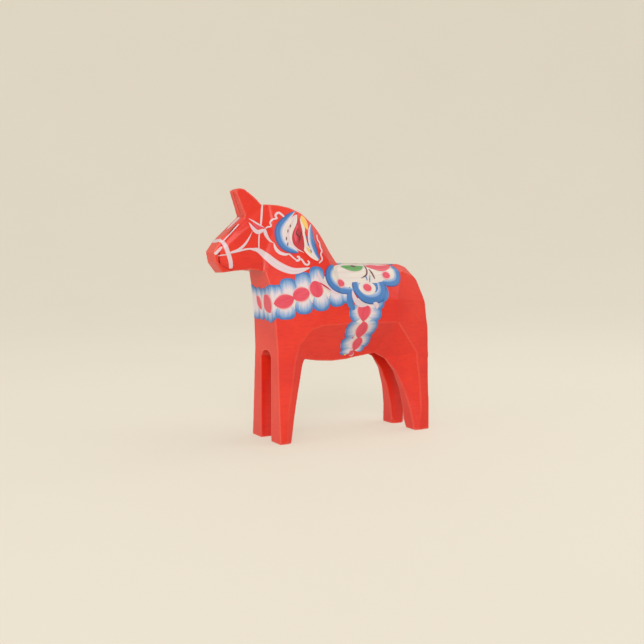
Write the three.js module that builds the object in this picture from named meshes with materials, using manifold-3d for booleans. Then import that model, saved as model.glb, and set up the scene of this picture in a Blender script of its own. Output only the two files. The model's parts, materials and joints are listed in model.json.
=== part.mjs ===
// A dala horse: a standing horse about a hand and a half tall, knife-carved from pine and painted.
// The blank is glued up from three boards. The core board holds the middle of the head, the ears,
// the neck and the trunk. Each side board adds a cheek, a flank and the two legs of its side, so the
// space between a left and a right leg is where the core board stops. Four dowels cross the glue
// joints. Millimetres, +Z up, the horse looks along -Y and its left side is +X. The origin is on
// the ground, under the middle of the horse's box.
import * as THREE from "three";
import { ConvexGeometry } from "three/addons/geometries/ConvexGeometry.js";
import { mergeVertices } from "three/addons/utils/BufferGeometryUtils.js";
import Module from "manifold-3d";

// ---- driving dimensions
const BODY_WIDTH = 77; // over the flanks
const CORE_THICKNESS = 22;
const GLUE_GAP = 0.3; // room for the glue between two boards
const DOWEL_DIAMETER = 8;
const DOWEL_LENGTH = 34;
const DOWEL_CLEARANCE = 0.3; // around a dowel, and past each of its ends
const DOWEL_SIDES = 24;
const EAR_NOTCH = 2; // between the ears
const CROTCH_HEIGHT = 90; // the top of the space between a left and a right leg

// ---- the side outline, as [y, z] corners left by the knife, from the front foot forward and over
const CHEST = [[-59.5, 0], [-59.3, 91], [-61.5, 130], [-65, 154], [-69, 169]];
const JAW = [[-83, 170.6], [-96, 169.6], [-109.5, 167.6]];
const MUZZLE = [[-117, 177.8], [-119, 188], [-112, 198.7]];
const FACE = [[-98, 211.5], [-86, 223]];
const EAR = [[-95, 247.6], [-91, 250], [-85.5, 249.4], [-69, 236.6]];
const CREST = [
  [-64, 235], [-50, 234.4], [-39, 232.4], [-26.5, 227.5], [-12.3, 215.5], [-3, 202], [3.5, 189.5],
  [11.5, 178],
];
const BACK = [[34, 176.6], [70, 176.6], [90, 177]];
const RUMP = [[99.7, 173.6], [110.4, 159.5], [116, 137], [117.2, 106], [119, 0]];
const HIND_LEG_FRONT = [[100.2, 0], [97.6, 22], [92.5, 44], [84.5, 63], [74, 76.5], [61, 83]];
const BELLY = [[38, 80.6], [22, 78.6], [4, 78.2], [-14, 79.6], [-29.5, 82]];
const FRONT_LEG_REAR = [[-32.5, 76], [-39.7, 40], [-46, 0]];
const OUTLINE = [
  CHEST, JAW, MUZZLE, FACE, EAR, CREST, BACK, RUMP, HIND_LEG_FRONT, BELLY, FRONT_LEG_REAR,
].flat();

const HALF_WIDTH = BODY_WIDTH / 2;
const HALF_CORE = CORE_THICKNESS / 2;

const wasm = await Module();
wasm.setup();

// ---- three.js geometry to a solid for joining and cutting, and back
function solidOf(geometry) {
  const bare = geometry.clone();
  bare.deleteAttribute("normal");
  bare.deleteAttribute("uv");
  const merged = mergeVertices(bare, 1e-4);
  return new wasm.Manifold(
    new wasm.Mesh({
      numProp: 3,
      vertProperties: merged.attributes.position.array,
      triVerts: new Uint32Array(merged.index.array),
    }),
  );
}

function geometryOf(solid) {
  const mesh = solid.getMesh();
  const indexed = new THREE.BufferGeometry()
    .setAttribute("position", new THREE.BufferAttribute(mesh.vertProperties, 3))
    .setIndex(new THREE.BufferAttribute(mesh.triVerts, 1));
  const flat = indexed.toNonIndexed();
  flat.computeVertexNormals();
  return flat;
}

const joined = (...solids) => solids.reduce((sum, solid) => sum.add(solid));

// A convex block through the given corners, each [x, y, z].
function block(corners) {
  return solidOf(new ConvexGeometry(corners.map((corner) => new THREE.Vector3(...corner))));
}

const onTheRight = (corners) => corners.map(([x, y, z]) => [-x, y, z]);
const symmetricBlock = (corners) => block([...corners, ...onTheRight(corners)]);
const bothSides = (corners) => joined(block(corners), block(onTheRight(corners)));

// A box between two corners.
function box([x0, y0, z0], [x1, y1, z1]) {
  const geometry = new THREE.BoxGeometry(x1 - x0, y1 - y0, z1 - z0);
  return solidOf(geometry.translate((x0 + x1) / 2, (y0 + y1) / 2, (z0 + z1) / 2));
}

// A plate with the side outline, as thick as the glued blank.
function blankPlate() {
  const shape = new THREE.Shape(OUTLINE.map(([y, z]) => new THREE.Vector2(y, z)));
  const geometry = new THREE.ExtrudeGeometry(shape, { depth: BODY_WIDTH, bevelEnabled: false });
  geometry.translate(0, 0, -HALF_WIDTH);
  const outlineToSide = new THREE.Matrix4().set(0, 0, 1, 0, 1, 0, 0, 0, 0, 1, 0, 0, 0, 0, 0, 1);
  return solidOf(geometry.applyMatrix4(outlineToSide));
}

// ---- the carved masses, each given by the corners of its left half
function trunk() {
  return symmetricBlock([
    [18.5, -70.5, 172], [23, -66, 135], [25, -63, 100], [27, -61, 77],
    [36, -24, 146], [HALF_WIDTH, -16, 140], [HALF_WIDTH, -16, 108], [34.5, -36, 77],
    [9, 6, 179], [9, 92, 179], [23, 2, 171], [23, 88, 170],
    [HALF_WIDTH, 72, 141], [HALF_WIDTH, 76, 112], [36, 80, 77],
    [10, 101, 176], [18, 113, 161], [26, 119, 137], [30.5, 120, 106], [31, 120, 77],
  ]);
}

function neck() {
  return symmetricBlock([
    [18.5, -70.5, 171], [22, -69, 152], [23, -66, 135], [16, -62, 190], [15, -58, 221],
    [20, -40, 216], [25, -20, 200], [29, -3, 180], [36, -24, 146], [37.5, -6, 144], [36.5, 6, 147],
    [11, -60, 237], [12, -38, 235], [12, -25, 229], [12, -10, 217], [11.5, 5, 191], [11, 16, 176],
    [17, 16, 174],
  ]);
}

function head() {
  return symmetricBlock([
    [9.5, -120, 189], [10, -118, 177], [9, -110, 167],
    [12.5, -108, 191], [13, -106, 177], [8.5, -113, 200],
    [8, -86, 226], [14.5, -84, 212], [15.5, -82, 194], [15, -80, 178],
    [9, -96, 168], [16, -68, 169], [17.5, -60, 184], [16.5, -58, 208], [11, -60, 237],
  ]);
}

function ears() {
  const inner = EAR_NOTCH / 2;
  return bothSides([
    [inner, -88, 221], [10.6, -86, 221], [inner, -66, 233], [10.8, -67, 233], [10.6, -76, 240],
    [inner, -96, 248.5], [7.4, -95.5, 248], [inner, -84, 252], [7.4, -84, 251.5],
  ]);
}

function frontLegs() {
  return bothSides([
    [6, -62, 90], [25.5, -62, 90], [34, -35, 90], [31, -27, 90], [6, -27, 90],
    [HALF_CORE, -60, -1], [33, -60, -1], [33.5, -50, -1], [30, -45, -1], [HALF_CORE, -45, -1],
  ]);
}

function hindLegs() {
  return bothSides([
    [6, 58, 92], [36, 76, 92], [6, 120, 92], [30.5, 120, 92],
    [17, 98.5, -1], [29, 98, -1], [32.5, 102, -1], [31.5, 119.5, -1],
    [HALF_CORE, 106, -1], [HALF_CORE, 112, -1], [18, 119.5, -1],
  ]);
}

// ---- what the knife takes away
// The slanting facets round the arch between a front and a hind leg, on both sides.
function archFacets() {
  const x = HALF_WIDTH + 4;
  return bothSides([
    [30.5, -45.5, -2], [28, -31, 79], [27, -29, 81.5], [23, 4, 77.8], [14, 60, 83.5], [13, 74, 77.5],
    [17.5, 84.5, 63.5], [22, 92.5, 44], [27, 97.8, 20], [30.5, 99.5, -2],
    [x, -70, -2], [x, -67, 78], [x, -52, 119], [x, 4, 122], [x, 74, 122], [x, 112, 86], [x, 119, 50],
    [x, 122, -2],
  ]);
}

// What the core board leaves out between a left and a right leg, with a rounded top.
function legGap(yFront, yRear) {
  const section = [[HALF_CORE + 1, -1], [HALF_CORE + 1, 84], [8.5, 88], [4, CROTCH_HEIGHT]];
  return symmetricBlock(section.flatMap(([x, z]) => [[x, yFront, z], [x, yRear, z]]));
}

// ---- the whole carved horse, still one block
function carvedHorse() {
  const masses = joined(trunk(), neck(), head(), frontLegs(), hindLegs(), ears());
  const notch = box([-EAR_NOTCH / 2, -100, 233], [EAR_NOTCH / 2, -66, 255]);
  return blankPlate()
    .intersect(masses)
    .subtract(archFacets())
    .subtract(legGap(-75, -27))
    .subtract(legGap(60, 130))
    .subtract(notch);
}

// ---- the dowels: middle of each, as [y, z]
const DOWELS = {
  dowel_neck: [-44, 190],
  dowel_shoulder: [-34, 132],
  dowel_belly: [20, 118],
  dowel_rump: [86, 134],
};

// A round bar across the boards, centred on its own origin.
function crossBar(diameter, length) {
  return new THREE.CylinderGeometry(diameter / 2, diameter / 2, length, DOWEL_SIDES).rotateZ(Math.PI / 2);
}

function dowelHoles() {
  const diameter = DOWEL_DIAMETER + 2 * DOWEL_CLEARANCE;
  const length = DOWEL_LENGTH + 2 * DOWEL_CLEARANCE;
  return joined(
    ...Object.values(DOWELS).map(([y, z]) => solidOf(crossBar(diameter, length).translate(0, y, z))),
  );
}

// ---- the boards, sawn out of the carved horse along the glue joints
function boards() {
  const far = 200;
  const faceOfSide = HALF_CORE + GLUE_GAP;
  const drilled = carvedHorse().subtract(dowelHoles());
  const underCore = box([-HALF_CORE - 1, -far, -far], [HALF_CORE + 1, far, 0]);
  return {
    core_board: drilled
      .intersect(box([-HALF_CORE, -far, -1], [HALF_CORE, far, far * 2]))
      .subtract(underCore),
    left_side_board: drilled.intersect(box([faceOfSide, -far, 0], [far, far, far * 2])),
    right_side_board: drilled.intersect(box([-far, -far, 0], [-faceOfSide, far, far * 2])),
  };
}

const paintedPine = new THREE.MeshStandardMaterial({ color: 0xd8301f, roughness: 0.3, metalness: 0 });
const beech = new THREE.MeshStandardMaterial({ color: 0xd2ab7c, roughness: 0.7, metalness: 0 });

const horse = new THREE.Group();
for (const [name, solid] of Object.entries(boards())) {
  const board = new THREE.Mesh(geometryOf(solid), paintedPine);
  board.name = name;
  horse.add(board);
}
for (const [name, [y, z]] of Object.entries(DOWELS)) {
  const dowel = new THREE.Mesh(crossBar(DOWEL_DIAMETER, DOWEL_LENGTH), beech);
  dowel.name = name;
  dowel.position.set(0, y, z);
  horse.add(dowel);
}

export default horse;
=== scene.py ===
"""A painted dala horse: glued pine boards, carved with a knife, dipped in red, painted and lacquered.

It stands on its four feet and looks along -Y, with its left side towards +X. Metres throughout.
"""
import json
import math

import bpy
import numpy as np
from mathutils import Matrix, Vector

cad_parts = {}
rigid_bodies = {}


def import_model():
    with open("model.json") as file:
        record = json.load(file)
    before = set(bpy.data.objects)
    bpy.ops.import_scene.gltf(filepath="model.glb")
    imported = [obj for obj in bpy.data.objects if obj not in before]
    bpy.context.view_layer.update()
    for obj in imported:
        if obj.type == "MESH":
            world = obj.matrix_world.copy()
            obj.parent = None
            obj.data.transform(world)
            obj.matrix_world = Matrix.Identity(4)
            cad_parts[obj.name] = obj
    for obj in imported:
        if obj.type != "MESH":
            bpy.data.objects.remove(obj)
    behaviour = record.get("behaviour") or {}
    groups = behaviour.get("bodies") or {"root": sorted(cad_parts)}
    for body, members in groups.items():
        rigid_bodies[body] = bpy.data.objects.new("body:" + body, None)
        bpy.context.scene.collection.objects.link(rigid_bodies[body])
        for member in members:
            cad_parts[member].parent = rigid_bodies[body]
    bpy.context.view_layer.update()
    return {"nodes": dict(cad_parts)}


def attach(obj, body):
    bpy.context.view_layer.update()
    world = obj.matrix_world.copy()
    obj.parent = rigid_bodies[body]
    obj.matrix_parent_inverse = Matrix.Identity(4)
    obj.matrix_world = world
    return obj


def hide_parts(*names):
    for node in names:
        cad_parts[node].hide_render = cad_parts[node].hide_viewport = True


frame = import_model()
MM = 0.001

# ---- The camera -----------------------------------------------------------------------------
# It stands a little above the height of the back, in front of the horse's left shoulder, and
# close enough for the near legs to look longer than the far ones.
aim = Vector((0, -1.6, 129.8)) * MM
round_the_horse, above_the_floor = math.radians(61.8), math.radians(2.6)
towards_camera = Vector((
    math.sin(round_the_horse) * math.cos(above_the_floor),
    -math.cos(round_the_horse) * math.cos(above_the_floor),
    math.sin(above_the_floor),
))
turn = (-towards_camera).to_track_quat("-Z", "Y").to_euler()
camera_distance = 855 * MM
bpy.ops.object.camera_add(location=aim + camera_distance * towards_camera, rotation=turn)
camera = bpy.context.object
camera.data.lens = 46.2
camera.data.shift_x = 0.0085
camera.data.shift_y = -0.0196
camera.data.clip_end = 20
bpy.context.scene.camera = camera


class Wire:
    """One output of a node, on which Python's arithmetic adds Math nodes."""

    def __init__(self, tree, socket=None):
        self.tree = tree
        self.socket = socket

    def node(self, kind, settings=(), inputs=(), output=0):
        """Adds a node: its settings first, then values or wires for its sockets."""
        made = self.tree.nodes.new("ShaderNode" + kind)
        for name, value in dict(settings).items():
            setattr(made, name, value)
        for name, value in dict(inputs).items():
            if isinstance(value, Wire):
                self.tree.links.new(value.socket, made.inputs[name])
            else:
                made.inputs[name].default_value = value
        return Wire(self.tree, made.outputs[output])

    def math(self, operation, first, second):
        return self.node("Math", {"operation": operation}, {0: first, 1: second})

    def __add__(self, other):
        return self.math("ADD", self, other)

    def __sub__(self, other):
        return self.math("SUBTRACT", self, other)

    def __rsub__(self, other):
        return self.math("SUBTRACT", other, self)

    def __mul__(self, other):
        return self.math("MULTIPLY", self, other)

    __radd__ = __add__
    __rmul__ = __mul__

    def rise(self, low, high):
        """0 below low and 1 above high, with a soft step between, or the other way round."""
        settings = {"interpolation_type": "SMOOTHSTEP"}
        return self.node("MapRange", settings, {"Value": self, "From Min": low, "From Max": high})

    def blend(self, first, second):
        """The first colour where this is 0, and the second where it is 1."""
        return self.node("Mix", {"data_type": "RGBA"}, {0: self, 6: first, 7: second}, output=2)

    def noise(self, scale, detail=2.0, roughness=0.5):
        """Cloudy noise on these coordinates, from 0 to 1."""
        inputs = {"Vector": self, "Scale": scale, "Detail": detail, "Roughness": roughness}
        return self.node("TexNoise", {}, inputs)

    def stretched(self, x, y, z):
        """These coordinates multiplied along each axis."""
        return self.node("Mapping", {}, {"Vector": self, "Scale": (x, y, z)})


def new_material(name):
    """An empty material with its shader, and a wire to build on."""
    material = bpy.data.materials.new(name)
    material.use_nodes = True
    tree = material.node_tree
    return material, tree.nodes["Principled BSDF"].inputs, Wire(tree)


def shade(red, green, blue):
    """A colour given as 0 to 255, made linear for the shader."""
    return (*[((part / 255 + 0.055) / 1.055) ** 2.4 for part in (red, green, blue)], 1)


def connect(wire, socket):
    wire.tree.links.new(wire.socket, socket)


# ---- The table top and the room ---------------------------------------------------------------
# A pale seamless sweep, flat under the horse and curving up far behind it on all sides, with a
# warm white sky over it.
FLOOR_RADIUS, WALL_HEIGHT = 1.6, 1.7
START_RADIUS, CURVE_STEP = 0.2, math.radians(7.5)
bpy.ops.object.select_all(action="DESELECT")
bpy.ops.mesh.primitive_circle_add(vertices=96, radius=START_RADIUS, fill_type="NGON", location=(0, 0, 0))
sweep = bpy.context.object
sweep.name = "table_sweep"
bpy.ops.object.mode_set(mode="EDIT")
bpy.ops.mesh.select_all(action="SELECT")
bpy.ops.mesh.extrude_region_move(TRANSFORM_OT_translate={"value": (0, 0, 0)})
bpy.ops.transform.resize(value=(FLOOR_RADIUS / START_RADIUS,) * 2 + (1,))
for step in range(1, 13):
    angle = CURVE_STEP * step
    rim = FLOOR_RADIUS + WALL_HEIGHT * math.sin(angle)
    before = FLOOR_RADIUS + WALL_HEIGHT * math.sin(angle - CURVE_STEP)
    climb = WALL_HEIGHT * (math.cos(angle - CURVE_STEP) - math.cos(angle))
    bpy.ops.mesh.extrude_region_move(TRANSFORM_OT_translate={"value": (0, 0, climb)})
    bpy.ops.transform.resize(value=(rim / before,) * 2 + (1,))
bpy.ops.mesh.extrude_region_move(TRANSFORM_OT_translate={"value": (0, 0, 2.5)})
bpy.ops.mesh.delete(type="ONLY_FACE")
bpy.ops.object.mode_set(mode="OBJECT")
bpy.ops.object.shade_smooth()

paper, paper_shader, paper_wire = new_material("pale_table")
place = paper_wire.node("TexCoord", output="Object")
connect(place.noise(3, 3).blend(shade(160, 156, 146), shade(154, 149, 138)), paper_shader["Base Color"])
paper_shader["Roughness"].default_value = 0.8
paper_shader["Emission Color"].default_value = shade(232, 224, 208)
paper_shader["Emission Strength"].default_value = 0.58
sweep.data.materials.append(paper)

world = bpy.data.worlds.new("soft_sky")
bpy.context.scene.world = world
world.use_nodes = True
world.node_tree.nodes["Background"].inputs["Color"].default_value = shade(255, 250, 240)
world.node_tree.nodes["Background"].inputs["Strength"].default_value = 0.35
bpy.context.scene.view_settings.view_transform = "Standard"


def soft_light(name, azimuth, elevation, distance, size, power):
    """A square area light, aimed at the middle of the horse."""
    a, e = math.radians(azimuth), math.radians(elevation)
    out = Vector((math.sin(a) * math.cos(e), -math.cos(a) * math.cos(e), math.sin(e)))
    turned = (-out).to_track_quat("-Z", "Y").to_euler()
    bpy.ops.object.light_add(type="AREA", location=aim + distance * out, rotation=turned)
    light = bpy.context.object
    light.name = name
    light.data.size = size
    light.data.energy = power


soft_light("window_light", 60, 28, 2.5, 1.2, 24)
soft_light("front_light", 5, 14, 2.5, 1.2, 9.6)
soft_light("back_light", 170, 55, 2.0, 1.6, 12)

# ---- The carved blank -------------------------------------------------------------------------
# The boards are glued up first and carved as one block, so that the knife facets run across the
# glue lines. The edges between the facets are softened by sanding and by the paint over them.
VOXEL = 0.8 * MM
BOARDS = ("core_board", "left_side_board", "right_side_board")
GLUE_PLANE = 11 * MM  # half the core board's thickness


def pick_up(*things):
    """Selects these objects only, the first of them active."""
    bpy.ops.object.select_all(action="DESELECT")
    for thing in things:
        thing.select_set(True)
    bpy.context.view_layer.objects.active = things[0]


def finish_with(thing, kind, **settings):
    """Adds one modifier and applies it."""
    pick_up(thing)
    modifier = thing.modifiers.new(kind.lower(), kind)
    for name, value in settings.items():
        setattr(modifier, name, value)
    bpy.ops.object.modifier_apply(modifier=modifier.name)


def copy_of(*things, name):
    """One new object, joined from copies of these, that hangs on nothing."""
    pick_up(*things)
    bpy.ops.object.duplicate()
    if len(things) > 1:
        bpy.ops.object.join()
    made = bpy.context.view_layer.objects.active
    bpy.ops.object.parent_clear(type="CLEAR_KEEP_TRANSFORM")
    made.name = name
    return made


def select_verts(mesh, chosen):
    """Selects the vertices whose place passes, and nothing else. The mesh is in object mode."""
    mesh.polygons.foreach_set("select", [False] * len(mesh.polygons))
    mesh.edges.foreach_set("select", [False] * len(mesh.edges))
    mesh.vertices.foreach_set("select", [bool(chosen(v.co)) for v in mesh.vertices])


blank = copy_of(*[frame["nodes"][name] for name in BOARDS], name="carved_blank")
blank.data.materials.clear()
for side in (-1, 1):
    select_verts(blank.data, lambda p: 0.2 * MM < side * p.x - GLUE_PLANE < 0.4 * MM)
    bpy.ops.object.mode_set(mode="EDIT")
    bpy.ops.mesh.select_mode(type="VERT")
    bpy.ops.transform.translate(value=(-side * 0.6 * MM, 0, 0))
    bpy.ops.object.mode_set(mode="OBJECT")
bpy.ops.object.mode_set(mode="EDIT")
bpy.ops.mesh.select_all(action="SELECT")
bpy.ops.mesh.remove_doubles(threshold=0.001 * MM)
bpy.ops.object.mode_set(mode="OBJECT")
finish_with(blank, "REMESH", mode="VOXEL", voxel_size=VOXEL)
finish_with(blank, "SMOOTH", factor=0.5, iterations=3)
knife_marks = bpy.data.textures.new("knife_marks", "CLOUDS")
knife_marks.noise_scale = 26 * MM
knife_marks.noise_depth = 1
finish_with(
    blank, "DISPLACE", texture=knife_marks, texture_coords="LOCAL", strength=0.5 * MM, mid_level=0.5,
)

# ---- The ridges and hollows: wear, painted highlight, painted shade -----------------------------
# How sharply the wood turns at each point: 1 on a knife edge, -1 in a hollow. The colour is lighter
# on the edges, partly thinner paint and partly a painted highlight, and darker in the hollows,
# partly pooled paint and partly painted shade.
mesh = blank.data
spots = np.empty(len(mesh.vertices) * 3)
mesh.vertices.foreach_get("co", spots)
spots = spots.reshape(-1, 3)
normals = np.empty(len(mesh.vertices) * 3)
mesh.vertex_normals.foreach_get("vector", normals)
normals = normals.reshape(-1, 3)
ends = np.empty(len(mesh.edges) * 2, int)
mesh.edges.foreach_get("vertices", ends)
one, other = ends[::2], ends[1::2]
neighbours = np.bincount(ends, minlength=len(spots))
across = spots[other] - spots[one]
reach = np.linalg.norm(across, axis=1) + 1e-9
fall = -np.einsum("ij,ij->i", across, normals[one]) / reach
rise_back = np.einsum("ij,ij->i", across, normals[other]) / reach
ridge = (
    np.bincount(one, fall, len(spots)) + np.bincount(other, rise_back, len(spots))
) / neighbours
for smoothing in range(3):
    around = np.bincount(one, ridge[other], len(spots)) + np.bincount(other, ridge[one], len(spots))
    ridge = 0.4 * ridge + 0.6 * around / neighbours
# This value drives both the worn, pale edges with their painted highlight and the dark hollows with their
# painted shade.
ridge_layer = mesh.attributes.new("ridge", "FLOAT", "POINT")
ridge_layer.data.foreach_set("value", np.clip(ridge / 0.12, -1, 1))

# ---- The red paint and its lacquer --------------------------------------------------------------
# Orange-red brushed on in two coats along the grain, with a clear gloss over it. Faint brush
# lines run nose to tail. On the knife edges the colour is lighter, partly thinner paint and partly a
# painted highlight, and in the hollows it is darker, partly pooled paint and partly painted shade.
def clear_coat(shader):
    """The gloss that goes over all the paint."""
    shader["Specular IOR Level"].default_value = 0.4
    shader["Coat Weight"].default_value = 0.2
    shader["Coat Roughness"].default_value = 0.22


lacquer, lacquer_shader, wire = new_material("red_lacquered_pine")
place = wire.node("TexCoord", output="Object")
edge = wire.node("Attribute", {"attribute_name": "ridge"}, output="Fac")
cloud = place.noise(22, 3)
strokes = place.stretched(1.0, 0.12, 1.0).noise(420, 2, 0.6)
grain = place.stretched(1.0, 0.06, 1.0).noise(1100, 2, 0.5)
red = cloud.rise(0.3, 0.7).blend(shade(214, 32, 18), shade(226, 46, 22))
red = (strokes.rise(0.45, 0.75) * 0.35).blend(red, shade(196, 24, 16))
# Darker red in the hollows: partly pooled paint, partly painted shade.
red = (edge.rise(-0.15, -0.8) * 0.6).blend(red, shade(150, 14, 12))
# Pale pinkish lines on the knife edges: partly thinner worn paint, partly a painted highlight.
red = (edge.rise(0.08, 0.7) * 0.5).blend(red, shade(228, 100, 82))
connect(red, lacquer_shader["Base Color"])
connect(0.3 + strokes * 0.12 + edge.rise(0.4, 1.0) * 0.1, lacquer_shader["Roughness"])
relief = wire.node("Bump", {}, {
    "Height": strokes * 0.7 + grain * 0.3, "Strength": 0.12, "Distance": 0.4 * MM,
})
connect(relief, lacquer_shader["Normal"])
clear_coat(lacquer_shader)
blank.data.materials.append(lacquer)

# ---- The three boards ---------------------------------------------------------------------------
# Sawn apart again along the glue lines: a core board with the ears, and a board for each side
# with its two legs. Under the paint they are tight together.
for name in BOARDS:
    board = copy_of(blank, name=name.replace("_board", "_carved"))
    bpy.ops.object.mode_set(mode="EDIT")
    for side in (-1, 1):
        keeps_outside = name == ("left_side_board" if side > 0 else "right_side_board")
        keeps_inside = name == "core_board"
        if not (keeps_outside or keeps_inside):
            continue
        bpy.ops.mesh.select_all(action="SELECT")
        bpy.ops.mesh.bisect(
            plane_co=(side * GLUE_PLANE, 0, 0), plane_no=(side, 0, 0), use_fill=True,
            clear_inner=keeps_outside, clear_outer=keeps_inside,
        )
    bpy.ops.object.mode_set(mode="OBJECT")
    bpy.ops.object.shade_smooth_by_angle(angle=math.radians(50))
    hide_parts(name)
    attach(board, "root")

# ---- The painter's brushes ----------------------------------------------------------------------
# The pattern is painted freehand over the dry red with loaded brushes, so each stroke is a thin
# skin of paint, a little raised along its middle. Strokes are drawn on a flat stencil that faces
# the wood, as [along, up] in millimetres, and then laid on it.
COAT = 0.1 * MM  # one coat of paint over another
SKIN = 0.6 * MM  # a stroke's thickness, most of it sunk in the wood
STENCIL = 300 * MM  # how far from the horse's middle the stencil is held
FACE_LENGTH, FACE_WIDTH = 0.75, 0.7  # of the mesh faces along and across a stroke, in millimetres


def smooth_way(corners, fractions):
    """Places on a smooth curve through the corners, at these fractions of its length, and the length."""
    corners = np.array(corners, float)
    ends = np.vstack([2 * corners[0] - corners[1], corners, 2 * corners[-1] - corners[-2]])
    dense = []
    for p0, p1, p2, p3 in zip(ends, ends[1:], ends[2:], ends[3:]):
        t = np.linspace(0, 1, 40, endpoint=False)[:, None]
        dense.append(
            p1 + 0.5 * t * (
                p2 - p0 + t * (2 * p0 - 5 * p1 + 4 * p2 - p3 + t * (3 * (p1 - p2) + p3 - p0))
            )
        )
    dense = np.vstack([*dense, corners[-1:]])
    walked = np.concatenate([[0], np.cumsum(np.linalg.norm(np.diff(dense, axis=0), axis=1))])
    wanted = fractions * walked[-1]
    return np.stack([np.interp(wanted, walked, dense[:, k]) for k in (0, 1)], 1), walked[-1]


def stroke(paint, way, width, form=(0.5, 0.5), coat=1):
    """One stroke. Its form says how fast it widens from its start and narrows to its end."""
    length = smooth_way(way, np.array([0.0]))[1]
    steps = max(8, round(length / FACE_LENGTH))
    rows = max(4, round(width / FACE_WIDTH))
    bpy.ops.mesh.primitive_grid_add(x_subdivisions=steps, y_subdivisions=rows, size=1)
    thing = bpy.context.object
    mesh = thing.data
    flat = np.empty(len(mesh.vertices) * 3)
    mesh.vertices.foreach_get("co", flat)
    flat = flat.reshape(-1, 3)
    run, across = flat[:, 0] + 0.5, flat[:, 1] * 2
    run = (1 - np.cos(np.pi * run)) / 2
    middle, _ = smooth_way(way, run)
    nudge = 0.004
    ahead, _ = smooth_way(way, np.clip(run + nudge, 0, 1))
    behind, _ = smooth_way(way, np.clip(run - nudge, 0, 1))
    heading = ahead - behind
    heading /= np.linalg.norm(heading, axis=1)[:, None]
    opening, closing = form
    widest = opening / (opening + closing)
    inner = np.clip(run, 0.006, 0.994)
    half = 0.5 * width * (inner / widest) ** opening * ((1 - inner) / (1 - widest)) ** closing
    along = middle[:, 0] - heading[:, 1] * half * across
    up = middle[:, 1] + heading[:, 0] * half * across
    flat = np.stack([np.full(len(along), STENCIL / MM), along, up], 1)
    mesh.vertices.foreach_set("co", flat.ravel() * MM)
    count = len(stencil)
    lift = mesh.attributes.new("lift", "FLOAT", "POINT")
    lift.data.foreach_set("value", COAT * (1.6 + coat + 0.07 * count + 0.5 * (1 - across ** 2)))
    woven = np.empty(len(mesh.loops) * 2)
    mesh.uv_layers.active.data.foreach_get("uv", woven)
    woven[::2] += count
    mesh.uv_layers.active.data.foreach_set("uv", woven)
    mesh.materials.append(paint)
    stencil.append(thing)


def lay_on_wood(name, turned=0, tipped=0, both_sides=True):
    """Lays the stencil's strokes on the wood and starts a new stencil. Turned is from the left side."""
    pick_up(*stencil)
    bpy.ops.object.join()
    sheet = bpy.context.object
    stencil.clear()
    laid = [(sheet, turned, "left_" + name if both_sides else name)]
    if both_sides:
        other = copy_of(sheet, name=name)
        pick_up(other)
        bpy.ops.object.mode_set(mode="EDIT")
        bpy.ops.mesh.select_all(action="SELECT")
        bpy.ops.transform.resize(value=(1, -1, 1), center_override=(0, 0, 0))
        bpy.ops.mesh.flip_normals()
        bpy.ops.object.mode_set(mode="OBJECT")
        laid.append((other, 180 - turned, "right_" + name))
    for skin, angle, full_name in laid:
        skin.name = full_name
        skin.rotation_euler = (0, math.radians(-tipped), math.radians(angle))
        finish_with(
            skin, "SHRINKWRAP", target=blank, wrap_method="PROJECT", use_project_x=True,
            use_positive_direction=False, use_negative_direction=True,
        )
        count = len(skin.data.vertices)
        spots, normals, lifts = np.empty(count * 3), np.empty(count * 3), np.empty(count)
        skin.data.vertices.foreach_get("co", spots)
        skin.data.vertex_normals.foreach_get("vector", normals)
        skin.data.attributes["lift"].data.foreach_get("value", lifts)
        skin.data.vertices.foreach_set("co", spots + normals * np.repeat(lifts, 3))
        finish_with(skin, "SOLIDIFY", thickness=SKIN, offset=-1)
        pick_up(skin)
        bpy.ops.object.transform_apply(rotation=True)
        bpy.ops.object.shade_smooth_by_angle(angle=math.radians(50))
        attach(skin, "root")


stencil = []


def brush_marks(wire):
    """How far along and across its stroke a point is, and the bristles' streaks along the stroke."""
    parts = wire.node("UVMap")
    along = wire.node("SeparateXYZ", {}, {"Vector": parts}, output="X")
    across = wire.node("SeparateXYZ", {}, {"Vector": parts}, output="Y")
    streaks = parts.stretched(1.6, 9, 1).noise(1.0, 3, 0.65)
    return along.math("FRACT", along, 0), across, streaks


def finish_paint(colour, shader, streaks):
    """Brush paint under the same gloss as the red."""
    connect(colour, shader["Base Color"])
    connect(0.3 + streaks * 0.15, shader["Roughness"])
    relief = colour.node("Bump", {}, {"Height": streaks, "Strength": 0.25, "Distance": 0.15 * MM})
    connect(relief, shader["Normal"])
    clear_coat(shader)


def plain_paint(name, body, thin, dark):
    """One colour from the pot: thinner at the stroke's sides, with darker and lighter streaks."""
    material, shader, wire = new_material(name)
    along, across, streaks = brush_marks(wire)
    side = (across * 2 - 1).math("ABSOLUTE", across * 2 - 1, 0)
    colour = streaks.rise(0.35, 0.75).blend(body, dark)
    colour = ((side + streaks * 0.5).rise(0.95, 1.35) * 0.75).blend(colour, thin)
    finish_paint(colour, shader, streaks)
    return material


def shaded_paint(name, reach, tones):
    """Two colours loaded side by side on one brush, running into each other across the stroke."""
    material, shader, wire = new_material(name)
    along, across, streaks = brush_marks(wire)
    colour = tones[0][1]
    reached = reach(along, across) + (streaks - 0.5) * 0.3
    for start, tone in tones[1:]:
        colour = reached.rise(start - 0.12, start + 0.12).blend(colour, tone)
    finish_paint(colour, shader, streaks)
    return material


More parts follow.
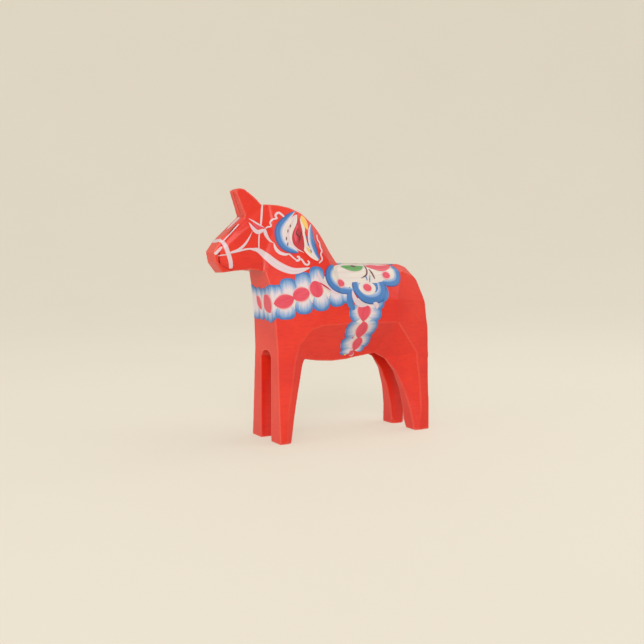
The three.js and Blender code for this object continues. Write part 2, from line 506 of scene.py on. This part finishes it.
WHITE, PALE_BLUE = shade(218, 206, 214), shade(140, 168, 208)
BLUE, NAVY = shade(62, 118, 184), shade(52, 80, 148)
white = plain_paint("white_paint", shade(216, 199, 208), shade(222, 150, 146), shade(206, 184, 196))
cream = plain_paint("cream_paint", shade(222, 214, 206), shade(214, 192, 190), shade(208, 198, 198))
berry = plain_paint("berry_paint", shade(222, 78, 100), shade(228, 120, 130), shade(206, 52, 76))
crimson = plain_paint("crimson_paint", shade(196, 50, 62), shade(176, 40, 50), shade(170, 34, 48))
yellow = plain_paint("yellow_paint", shade(232, 190, 84), shade(236, 150, 90), shade(222, 172, 70))
green = plain_paint("green_paint", shade(96, 166, 84), shade(130, 180, 110), shade(56, 120, 60))
umber = plain_paint("umber_paint", shade(92, 48, 50), shade(140, 50, 44), shade(70, 36, 42))
blue = plain_paint("blue_paint", shade(66, 128, 190), shade(90, 120, 180), shade(60, 100, 170))
side_loaded = shaded_paint(
    "blue_beside_white", lambda along, across: across,
    [(0, NAVY), (0.16, BLUE), (0.58, PALE_BLUE), (0.76, WHITE)],
)
fan_paint = shaded_paint(
    "blue_beyond_white", lambda along, across: along + ((across - 0.5) * (across - 0.5)) * 0.9,
    [(0, WHITE), (0.58, PALE_BLUE), (0.76, BLUE), (1.06, NAVY)],
)
ring_paint = shaded_paint(
    "blue_with_a_pale_edge", lambda along, across: across,
    [(0, NAVY), (0.12, BLUE), (0.7, PALE_BLUE), (0.96, WHITE)],
)

# The forms of the commonest strokes: how fast each opens, and how fast it closes.
LINE, LEAF, ROUND, DROP, FAN = (0.12, 0.12), (0.8, 0.8), (0.5, 0.5), (0.35, 1.0), (0.7, 0.36)

# ---- The bridle and the rein ----------------------------------------------------------------------
# White lining strokes: a noseband, cheek strap, throat and poll straps, and a rein that swells
# into a broad crescent on the neck.
stroke(white, [(-110, 198.3), (-107.4, 194), (-105, 187), (-102.8, 180), (-101.4, 172)], 4.4, LINE)
stroke(white, [(-117.4, 185.4), (-114, 188.6), (-110.4, 192.6)], 3, (0.12, 0.3))
stroke(white, [(-115, 183.6), (-110, 184.6), (-105.5, 185)], 1.1, LEAF)
stroke(white, [(-92.4, 214.6), (-101, 206), (-109, 197.6)], 1.1, LINE)
stroke(umber, [(-95, 213.6), (-99.6, 208.6), (-104, 203.6)], 0.9, LEAF, 2)
stroke(white, [(-103.5, 186.7), (-94.7, 189.6), (-87, 196.4), (-80.3, 207.4)], 2.7, (0.4, 0.9))
stroke(white, [(-73, 208), (-73.8, 199), (-74, 191)], 1.4, LINE)
stroke(white, [(-67.6, 234), (-68.8, 227), (-71.2, 214.2)], 2.1, LINE)
stroke(white, [(-103, 186), (-95, 188.2), (-87, 190.4), (-79, 190.8), (-71, 188.8)], 1.7, LEAF)
stroke(
    white,
    [(-84, 190.6), (-75, 189.6), (-67, 184), (-58.8, 176.8), (-49.2, 171.4), (-39.3, 169.4), (-25, 172.6)],
    7.8, (0.8, 0.8),
)
lay_on_wood("bridle")

# The noseband crosses the ridge of the nose, and one broad line runs down the face.
stroke(white, [(-10, 61.6), (-3, 61.2), (3, 61.2), (10, 61.6)], 4.4, LINE)
stroke(white, [(-0.4, 95), (-0.6, 87), (-1, 77.4)], 8, (0.2, 0.55), 2)
lay_on_wood("noseband_top", turned=-90, tipped=45, both_sides=False)
# The poll strap crosses the crest behind the ears.
stroke(white, [(-67.6, -10.4), (-66.2, 0), (-67.6, 10.4)], 2.1, LINE)
lay_on_wood("poll_strap_top", tipped=90, both_sides=False)

# ---- The eye and the filigree ---------------------------------------------------------------------
# The eye is two white crescents with pink between them, and it runs out into fine curling lines
# beside the mane flower.
stroke(berry, [(-79.5, 216), (-75, 212.8), (-70, 210.6)], 3.0, LEAF, 0)
stroke(white, [(-82.6, 220.4), (-75.8, 216), (-67.6, 211.6)], 1.7, LEAF)
stroke(white, [(-83, 216.4), (-79.5, 210.8), (-74.5, 207.2), (-68, 210)], 4.2, (0.8, 0.5))
stroke(white, [(-68, 210.6), (-66.2, 204.6), (-62.6, 199.2), (-58.6, 196.4)], 3.8, DROP)
stroke(white, [(-59, 197.2), (-57.4, 191.4), (-54, 187.4), (-48.6, 185.6), (-44, 186.4)], 3.4, LEAF)
stroke(white, [(-45, 186.2), (-41.5, 182.7), (-38, 179.8)], 1.5, LINE)
stroke(white, [(-39, 179.4), (-35.6, 180.2), (-35.4, 183), (-37.6, 183.4)], 2.3, LINE)
stroke(
    white, [(-35.6, 182), (-32.7, 180.2), (-30.6, 176.6), (-27.6, 175.4), (-25.4, 177.6), (-27, 179.6)],
    2, LINE,
)
stroke(
    white,
    [(-66.6, 210.8), (-64.2, 212.4), (-60.4, 213.2), (-61.2, 216.8), (-58.2, 220), (-53.8, 220.8)],
    1.7, LINE,
)
stroke(white, [(-54, 220.6), (-55.4, 224), (-52.2, 226.8), (-48.8, 224.6), (-47, 222.6)], 2.2, LINE)
lay_on_wood("filigree")

# ---- The mane flower ------------------------------------------------------------------------------
# A side-loaded blue and white crescent holds a flame-shaped petal, a yellow one and a second
# crescent along the mane, with dark ticks and a wavy white line.
stroke(
    side_loaded,
    [(-33.6, 229), (-44, 221.5), (-51, 213.5), (-53, 206.5), (-51.3, 198), (-46, 192), (-36, 187.6)],
    9.6, (0.8, 0.55),
)
stroke(
    white, [(-33.8, 225), (-40, 217), (-44.4, 208), (-43.8, 199), (-37.4, 191.6), (-30, 187.4)],
    2.6, LEAF, 2,
)
stroke(cream, [(-32.4, 225.4), (-37.6, 214), (-40.4, 203), (-34, 190)], 17, (0.8, 0.7), 0.6)
stroke(crimson, [(-32, 226.6), (-32, 217), (-34.6, 206), (-34.6, 198), (-30.6, 189.6)], 12, (1.7, 0.75), 2)
stroke(berry, [(-34.4, 215), (-37, 205), (-37.4, 198)], 3.4, LEAF, 3)
stroke(umber, [(-34, 212), (-36, 206), (-33, 202), (-35, 197)], 1.5, LEAF, 4)
stroke(umber, [(-31, 208), (-32, 203)], 1.2, LEAF, 4)
stroke(cream, [(-28.6, 222), (-28, 213), (-29.4, 204)], 4.4, (0.6, 0.6), 1.4)
stroke(yellow, [(-27.2, 224.6), (-24.6, 217.6), (-22.8, 210)], 6.6, (0.6, 0.8), 2)
stroke(cream, [(-28, 212), (-28.8, 203), (-28, 194), (-23, 186.4), (-15.5, 179.4)], 6.5, (0.9, 0.7), 1)
stroke(
    side_loaded, [(-14.2, 180), (-18.2, 188.3), (-20.6, 198.2), (-20, 207.3), (-16.2, 216.6)],
    7.4, (0.7, 0.7), 2,
)
stroke(yellow, [(-27, 193), (-22, 186.6)], 2.2, LEAF, 3)
for y, z in ((-41.5, 215.5), (-44.2, 210.5), (-46.3, 203), (-45.4, 197.6)):
    stroke(umber, [(y, z), (y - 0.6, z - 3.6)], 1.0, LEAF, 4)
for y, z in ((-25.6, 204), (-25.2, 198), (-22.8, 191)):
    stroke(blue, [(y, z), (y + 0.6, z - 3.8)], 1.2, LEAF, 4)
stroke(
    white,
    [
        (-12, 205.6), (-12.6, 200.6), (-10.8, 197.4), (-11.4, 193.4),
        (-10.2, 189.4), (-12, 186), (-11, 181), (-15, 177.2),
    ],
    1.7, LINE, 2,
)
lay_on_wood("mane_flower")

# ---- The chest band -------------------------------------------------------------------------------
# A chain of pink berries round the chest on a white ground, with a fan of two-colour strokes
# above and below each berry that makes the scalloped blue edge.
stroke(cream, [(-61, 138), (-50, 140), (-36, 146.5), (-20, 151.5), (-2, 153.5), (14, 155)], 23, LINE, 0)
for base, tip, width in (
    ((-57, 139), (-58.6, 156), 11), ((-48, 141), (-48, 162.4), 16), ((-34, 146), (-32, 168.4), 17),
    ((-21, 151), (-17.4, 173.8), 16),
    ((-51, 140), (-50.8, 122), 19), ((-34, 147), (-33.4, 127), 17), ((-17, 151), (-16, 130), 18),
    ((0, 153), (2, 134), 18), ((12, 154), (13, 137), 13),
):
    stroke(fan_paint, [base, tip], width, FAN, 1)
stroke(white, [(-17.4, 170), (-15, 161.5), (-7, 152), (5, 146.2)], 5, LEAF, 2)
stroke(white, [(-14.6, 158.6), (-9, 152.6), (-2, 149.2)], 3.4, LEAF, 2)
stroke(crimson, [(-17.9, 158.4), (-11.9, 155), (-4.2, 149.6)], 1.7, LEAF, 3)
for way, width, form in (
    ([(-62, 137.6), (-52, 139.6), (-42.6, 143.4)], 14.0, LEAF),
    ([(-43.6, 143.8), (-36, 146.4), (-28.4, 149.4)], 13.4, ROUND),
    ([(-22.6, 159.4), (-20.7, 151.5), (-18.6, 143.6)], 14, ROUND),
):
    stroke(white, way, width + 2.2, form, 2)
    stroke(berry, way, width, form, 3)
lay_on_wood("chest_band")

CORNER = -44  # the way the corner of the chest faces
stroke(cream, [(-36, 137.4), (-22, 138.6)], 15, LINE, 0)
stroke(fan_paint, [(-30, 138), (-30.6, 156)], 13, FAN)
stroke(fan_paint, [(-30, 138), (-30.4, 121)], 12, FAN)
lay_on_wood("chest_corner", turned=CORNER)

stroke(cream, [(-21.4, 137.4), (0, 137.8), (21.4, 137.4)], 16, LINE, 0)
for base, tip, width in (
    ((-16, 137), (-17, 153.6), 13), ((-5, 137), (-5.6, 153.4), 13), ((5, 137), (5.4, 152.6), 11),
    ((14.6, 137), (15.4, 154.4), 13), ((-16, 138), (-16.4, 120.6), 12), ((-5, 138), (-5, 120.4), 13),
    ((5.6, 138), (6.6, 120.4), 11), ((15, 138), (16, 118.6), 13),
):
    stroke(fan_paint, [base, tip], width, FAN)
for way, width in (
    ([(7.6, 145.8), (13, 137.3), (17, 128.4)], 19),
    ([(-10.6, 145), (-7, 138.4), (-3.6, 131)], 9.6),
):
    stroke(white, way, width + 2, LEAF, 5)
    stroke(berry, way, width, LEAF, 6)
lay_on_wood("breast", turned=-90, both_sides=False)

# ---- The girth ------------------------------------------------------------------------------------
# The same chain, hanging from the saddle down the flank to the lower edge of the belly, with
# smaller berries as it goes down.
stroke(cream, [(32, 142), (32.4, 126), (32.6, 108), (32.4, 94), (28.6, 87)], 21, (0.12, 0.6), 0)
for base, tip, width in (
    ((32, 128), (15.4, 126.6), 17), ((32, 111), (13.6, 109), 18), ((32, 96), (13, 93.6), 15),
    ((30, 88), (14, 86), 6.8), ((33, 134), (56.6, 138), 14), ((33, 127), (53.4, 126), 15),
    ((33, 112), (50, 112), 17), ((33, 97), (48, 98.4), 15),
    ((30, 89.4), (44, 90), 8),
):
    stroke(fan_paint, [base, tip], width, FAN, 1)
for way, width, form in (
    ([(33, 135.4), (32.2, 128), (31, 118.4)], 15.4, (0.42, 0.8)),
    ([(31.6, 118.6), (32.4, 110), (32, 101.2)], 13, (0.75, 0.75)),
    ([(34.6, 101.6), (33.2, 94.7), (30.8, 87.4)], 11, (0.6, 0.8)),
    ([(31.4, 87.4), (28.4, 85), (25, 83.6)], 5.4, LEAF),
):
    stroke(white, way, width + 2, form, 2)
    stroke(berry, way, width, form, 3)
stroke(yellow, [(22, 84.2), (19, 83.4)], 1.8, LEAF, 3)
lay_on_wood("girth")

# ---- The saddle -----------------------------------------------------------------------------------
# Three scalloped lobes on each flank round a cream ground, a berry in each, and a green and a
# pink leaf whose dark stems meet in the middle of the back.
stroke(cream, [(-6, 163), (14, 160), (36, 160), (58, 163), (80, 165)], 21, (0.2, 0.2), 0)
stroke(cream, [(-0.5, 170.6), (10, 172.4), (30, 172.8), (55, 172.8), (80, 172.4)], 7.4, (0.3, 0.3), 0)
for way, width in (
    ([(3, 174.6), (-3.4, 170.6), (-5.4, 163), (-1, 155), (8.4, 150.6), (19.4, 149.4), (24, 150.6)], 8.6),
    ([(60, 158), (67, 156.8), (75.6, 158.2), (80.2, 163), (80.8, 169), (78.4, 174.6)], 8),
):
    stroke(ring_paint, way, width, (0.3, 0.3), 3)
stroke(blue, [(19, 153), (17, 145), (16.4, 137), (21, 130.6)], 8, ROUND, 2.6)
stroke(blue, [(24, 150.4), (41, 149.4), (58, 150.4)], 15, LINE, 2.4)
stroke(
    ring_paint, [(27, 158), (27.4, 150), (32.6, 143.4), (42, 141), (52, 143.2), (57.4, 150), (57, 158)],
    11, LINE, 3,
)
stroke(blue, [(60.6, 156), (60.4, 147), (56, 138)], 7, ROUND, 2.6)
stroke(white, [(20.8, 150), (21.6, 141.6), (27, 135.8), (36, 134.4)], 5.6, LEAF, 4)
stroke(white, [(43, 137), (47.4, 135), (47.4, 130.6)], 4.6, LEAF, 4)
stroke(cream, [(29.4, 152.6), (39.4, 151.6), (49.4, 152.8)], 13.6, ROUND, 3.6)
for y, z, across in ((8.8, 157, 9.6), (39.4, 152.2, 9.8), (66.4, 164.8, 9)):
    stroke(white, [(y - across / 2 - 0.8, z), (y + across / 2 + 0.8, z)], across, ROUND, 4.5)
    stroke(berry, [(y - across / 2, z), (y + across / 2, z)], across - 2, ROUND, 5)
stroke(green, [(17, 173.8), (24, 172.4), (32, 172), (38, 172.4), (43, 173.8)], 5.6, LEAF, 4)
stroke(umber, [(28, 174), (34, 173.6)], 2.0, LEAF, 5)
stroke(berry, [(46.6, 174.4), (55, 173), (64, 172), (77, 173.6)], 5.4, LEAF, 4)
stroke(umber, [(45.6, 175), (44.8, 170.6), (42.6, 165.4), (35.6, 162)], 1.4, LEAF, 5)
stroke(umber, [(47.8, 171), (50.2, 166.4), (51.6, 161)], 1.4, LEAF, 5)
stroke(blue, [(41.6, 165), (42, 159.6)], 0.9, LEAF, 5)
stroke(blue, [(46.6, 164.6), (44, 157)], 0.9, LEAF, 5)
lay_on_wood("saddle")

# Across the back the cream ground joins the two flanks, edged with fans at both ends, and the
# leaves meet their opposite numbers round a chain of three berries.
for side in (-1, 1):
    stroke(cream, [(13, side * 6.4), (40, side * 6.6), (83, side * 6.4)], 15, (0.05, 0.05), 0)
for middle, reach in ((24, 13), (70, 85)):
    for x in (-9.4, 0, 9.4):
        stroke(fan_paint, [(middle, x * 0.8), (reach, x)], 10.6, FAN)
for side in (-1, 1):
    stroke(green, [(19, side * 11), (27, side * 7.5), (34, side * 6), (43, side * 9)], 6.5, LEAF, 2)
    stroke(umber, [(27, side * 8), (35, side * 8)], 1.8, LEAF, 3)
    stroke(berry, [(46, side * 9), (55, side * 6), (66, side * 7), (77, side * 12)], 7, LEAF, 2)
for y, across in ((26, 7), (44, 8.4), (63, 7)):
    stroke(white, [(y - across / 2 - 1, 0), (y + across / 2 + 1, 0)], across + 1.6, ROUND, 3)
    stroke(berry, [(y - across / 2, 0), (y + across / 2, 0)], across, ROUND, 4)
lay_on_wood("saddle_top", tipped=90, both_sides=False)
bpy.data.objects.remove(blank)

# ---- The dowels ---------------------------------------------------------------------------------
# Four turned beech dowels cross the glue lines and can't be seen once the boards are together.
# They keep their plain turned shape and get only their finish here.
beech, beech_shader, wire = new_material("beech")
place = wire.node("TexCoord", output="Object")
fibre = place.stretched(0.08, 1.0, 1.0).noise(900, 3, 0.6)
connect(fibre.blend(shade(222, 186, 140), shade(188, 146, 98)), beech_shader["Base Color"])
connect(0.5 + fibre * 0.2, beech_shader["Roughness"])
for name, node in frame["nodes"].items():
    if name.startswith("dowel"):
        node.data.materials.clear()
        node.data.materials.append(beech)
